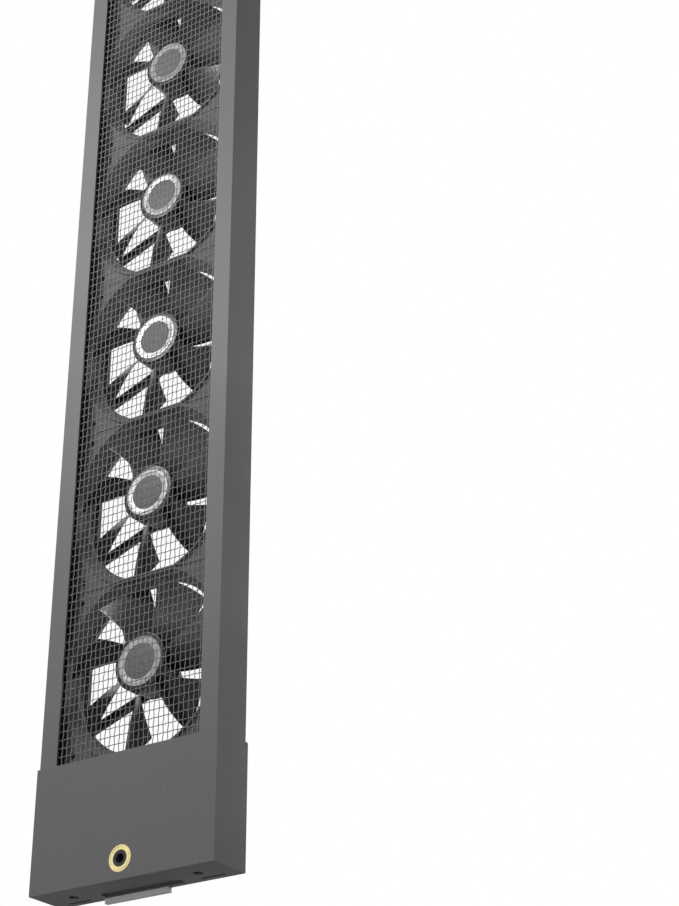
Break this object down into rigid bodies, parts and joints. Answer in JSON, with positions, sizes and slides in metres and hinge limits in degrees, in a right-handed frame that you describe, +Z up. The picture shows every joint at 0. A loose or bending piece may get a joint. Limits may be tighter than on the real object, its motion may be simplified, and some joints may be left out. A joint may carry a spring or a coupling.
{
  "type": "window fan",
  "caption": "Tall narrow box column with a vertical stack of axial fans behind a woven wire screen, sleeve end caps and a round power socket low on its front.",
  "frame": {"origin": "bottom centre of the column's bounding box, at the lowest face of the tongue under the lower cap", "axes": "+X to the right seen from the front, +Y from the front with the wire screen to the back, +Z up along the column"},
  "size_m": [0.1402, 0.0318, 0.8386],
  "materials": {
    "casing": "satin",
    "screen_wire": "satin",
    "rail": "satin",
    "cap": "matte",
    "screw": "satin",
    "tongue": "matte",
    "socket_ring": "polished",
    "socket_barrel": "satin",
    "socket_pin": "polished",
    "nut": "satin",
    "tag": "satin",
    "circuit_board": "satin",
    "post": "satin",
    "red_lead": "satin",
    "black_lead": "satin",
    "clip": "matte",
    "stator": "satin",
    "bearing": "satin",
    "housing": "matte",
    "impeller": "satin",
    "hub_ring": "polished",
    "hub_disc": "matte",
    "shaft": "polished",
    "magnet": "matte"
  },
  "bodies": {
    "frame": {"casing": "casing", "rear_panel": "casing", "screen": "screen_wire", "fan_rails": "rail", "lower_cap": "cap", "upper_cap": "cap", "panel_screws": "screw", "cap_screws": "screw", "sill_tongue": "tongue", "socket_ring": "socket_ring", "socket_barrel": "socket_barrel", "socket_pin": "socket_pin", "socket_nut": "nut", "socket_tags": "tag", "control_board": "circuit_board", "board_posts": "post", "supply_leads": "red_lead", "riser_lead": "black_lead", "lead_clips": "clip", "fan_leads": "black_lead", "stators": "stator", "motor_boards": "circuit_board", "bearings": "bearing", "fan_housing_1": "housing", "fan_housing_2": "housing", "fan_housing_3": "housing", "fan_housing_4": "housing", "fan_housing_5": "housing", "fan_housing_6": "housing"},
    "rotor_1": {"impeller_1": "impeller", "hub_ring_1": "hub_ring", "hub_disc_1": "hub_disc", "shaft_1": "shaft", "magnet_ring_1": "magnet"},
    "rotor_2": {"impeller_2": "impeller", "hub_ring_2": "hub_ring", "hub_disc_2": "hub_disc", "shaft_2": "shaft", "magnet_ring_2": "magnet"},
    "rotor_3": {"impeller_3": "impeller", "hub_ring_3": "hub_ring", "hub_disc_3": "hub_disc", "shaft_3": "shaft", "magnet_ring_3": "magnet"},
    "rotor_4": {"impeller_4": "impeller", "hub_ring_4": "hub_ring", "hub_disc_4": "hub_disc", "shaft_4": "shaft", "magnet_ring_4": "magnet"},
    "rotor_5": {"impeller_5": "impeller", "hub_ring_5": "hub_ring", "hub_disc_5": "hub_disc", "shaft_5": "shaft", "magnet_ring_5": "magnet"},
    "rotor_6": {"impeller_6": "impeller", "hub_ring_6": "hub_ring", "hub_disc_6": "hub_disc", "shaft_6": "shaft", "magnet_ring_6": "magnet"}
  },
  "joints": [
    {"name": "fan_spin_1", "type": "hinge", "parent": "frame", "child": "rotor_1", "pos_m": [0, 0.0018, 0.1465], "axis": [0, 1, 0], "continuous": true},
    {"name": "fan_spin_2", "type": "hinge", "parent": "frame", "child": "rotor_2", "pos_m": [0, 0.0018, 0.2665], "axis": [0, 1, 0], "continuous": true},
    {"name": "fan_spin_3", "type": "hinge", "parent": "frame", "child": "rotor_3", "pos_m": [0, 0.0018, 0.3865], "axis": [0, 1, 0], "continuous": true},
    {"name": "fan_spin_4", "type": "hinge", "parent": "frame", "child": "rotor_4", "pos_m": [0, 0.0018, 0.5065], "axis": [0, 1, 0], "continuous": true},
    {"name": "fan_spin_5", "type": "hinge", "parent": "frame", "child": "rotor_5", "pos_m": [0, 0.0018, 0.6265], "axis": [0, 1, 0], "continuous": true},
    {"name": "fan_spin_6", "type": "hinge", "parent": "frame", "child": "rotor_6", "pos_m": [0, 0.0018, 0.7465], "axis": [0, 1, 0], "continuous": true}
  ]
}
